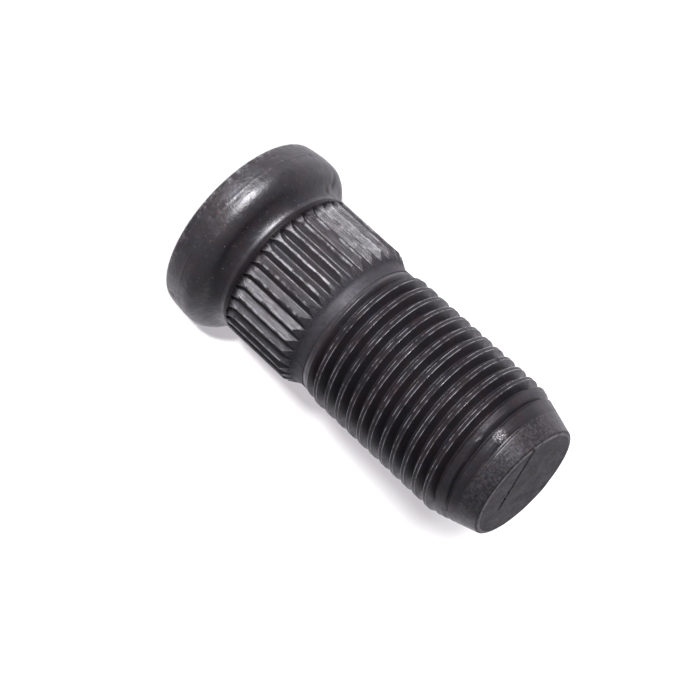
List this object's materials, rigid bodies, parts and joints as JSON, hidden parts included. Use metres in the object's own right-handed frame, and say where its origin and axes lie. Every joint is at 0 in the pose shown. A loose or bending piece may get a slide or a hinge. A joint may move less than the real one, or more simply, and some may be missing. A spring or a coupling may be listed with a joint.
{
  "type": "wheel stud",
  "caption": "One-piece wheel stud with a round head, a press-in knurl, a plain collar and a rolled metric thread with a tapered tip.",
  "frame": {"origin": "centre of the flat back of the head, which the stud stands on", "axes": "+Z along the stud's axis, from the head towards the tip; -Y towards the side that the picture shows"},
  "size_m": [0.0208, 0.0208, 0.0398],
  "materials": {
    "black_steel": "satin black oxide, rubbed bright on the edges"
  },
  "bodies": {
    "root": {"wheel_stud": "black_steel"}
  },
  "joints": []
}
